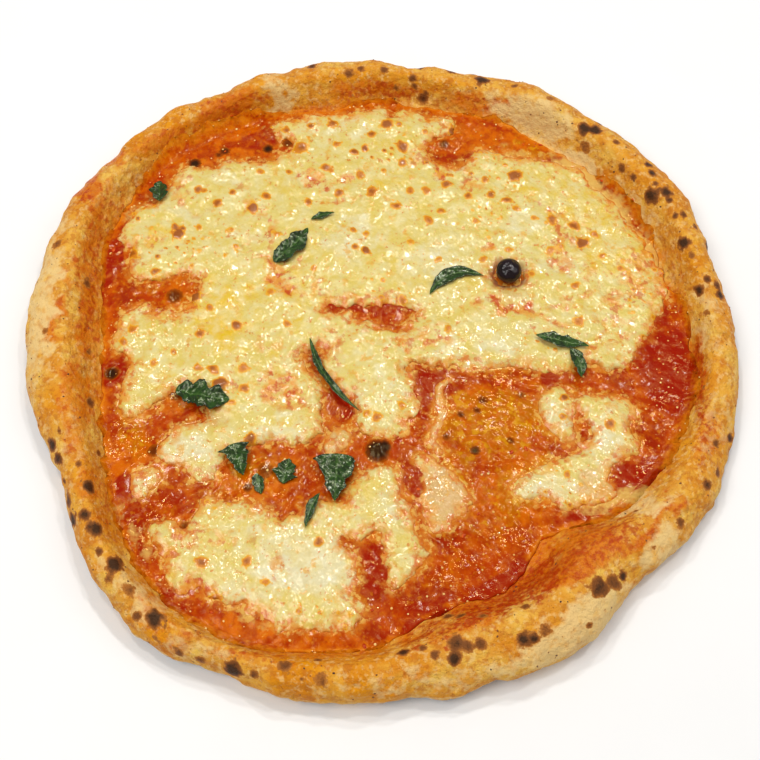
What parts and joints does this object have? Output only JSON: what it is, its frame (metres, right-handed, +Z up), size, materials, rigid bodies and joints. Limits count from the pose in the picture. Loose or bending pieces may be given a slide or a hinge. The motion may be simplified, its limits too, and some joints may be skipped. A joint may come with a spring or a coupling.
{
  "type": "margherita pizza",
  "caption": "Round baked pizza with a puffed, unevenly browned rim, tomato sauce, melted mozzarella, wilted basil leaves and a small black olive.",
  "frame": {"origin": "centre of the bounding box at the flat underside", "axes": "+Z up out of the toppings, +Y towards the back edge and +X to the right as served"},
  "size_m": [0.3266, 0.3296, 0.0232],
  "materials": {
    "dough": "baked wheat dough, dry, floury in places, with dark scorched spots",
    "tomato": "baked tomato sauce mixed with oil, wet and glossy",
    "mozzarella": "melted mozzarella, soft gloss, with browned blisters",
    "basil": "wilted basil leaf, oily",
    "olive": "baked black olive, wrinkled and glossy"
  },
  "bodies": {
    "root": {"dough": "dough", "tomato_sauce": "tomato", "mozzarella_main": "mozzarella", "mozzarella_front": "mozzarella", "mozzarella_flap": "mozzarella", "mozzarella_oval": "mozzarella", "mozzarella_right": "mozzarella", "mozzarella_left_bit": "mozzarella", "mozzarella_middle_bit": "mozzarella", "mozzarella_strand": "mozzarella", "basil_long_edge": "basil", "basil_by_olive": "basil", "basil_back": "basil", "basil_back_tip": "basil", "basil_left": "basil", "basil_front_left": "basil", "basil_front_oval": "basil", "basil_front_sliver": "basil", "basil_front_right": "basil", "basil_front_arc": "basil", "basil_right": "basil", "basil_right_hook": "basil", "basil_back_left": "basil", "olive": "olive"}
  },
  "joints": []
}
